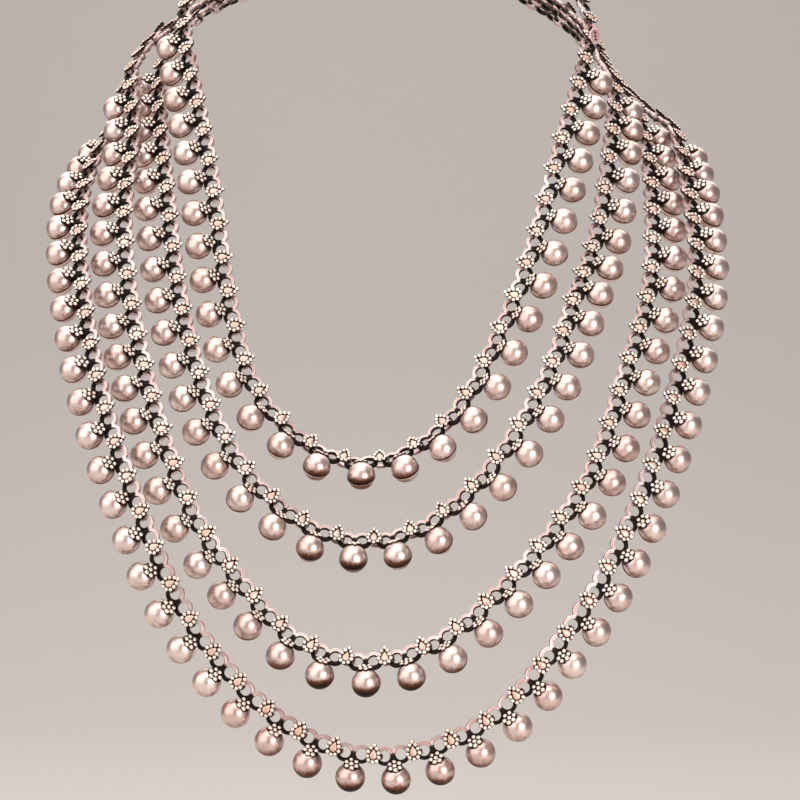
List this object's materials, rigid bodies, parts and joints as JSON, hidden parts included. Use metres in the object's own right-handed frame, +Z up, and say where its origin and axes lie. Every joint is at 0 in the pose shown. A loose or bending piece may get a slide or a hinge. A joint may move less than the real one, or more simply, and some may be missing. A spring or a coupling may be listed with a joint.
{
  "type": "necklace",
  "caption": "Multi-strand oxidised silver necklace: linked ring pairs with hollow ball drops, granulated rosettes and pear plaques, closed by a hook at the nape.",
  "frame": {"origin": "middle of the clasp hook, where the necklace hangs on the nape of the neck", "axes": "+Z up, +X to the viewer's right seen from the front, -Y out of the chest towards the viewer"},
  "size_m": [0.2623, 0.2374, 0.3337],
  "materials": {
    "toned_silver": "satin silver with a warm tone, black oxidation in the recesses",
    "plate_silver": "brushed oxidised silver",
    "hook_silver": "worn oxidised silver",
    "tag_silver": "polished silver with dark dimples"
  },
  "bodies": {
    "root": {"strand_1_left": "toned_silver", "strand_1_right": "toned_silver", "strand_2_left": "toned_silver", "strand_2_right": "toned_silver", "strand_3_left": "toned_silver", "strand_3_right": "toned_silver", "strand_4_left": "toned_silver", "strand_4_right": "toned_silver", "end_plate_left": "plate_silver", "end_plate_right": "plate_silver", "clasp_hook": "hook_silver", "tag": "tag_silver"}
  },
  "joints": []
}
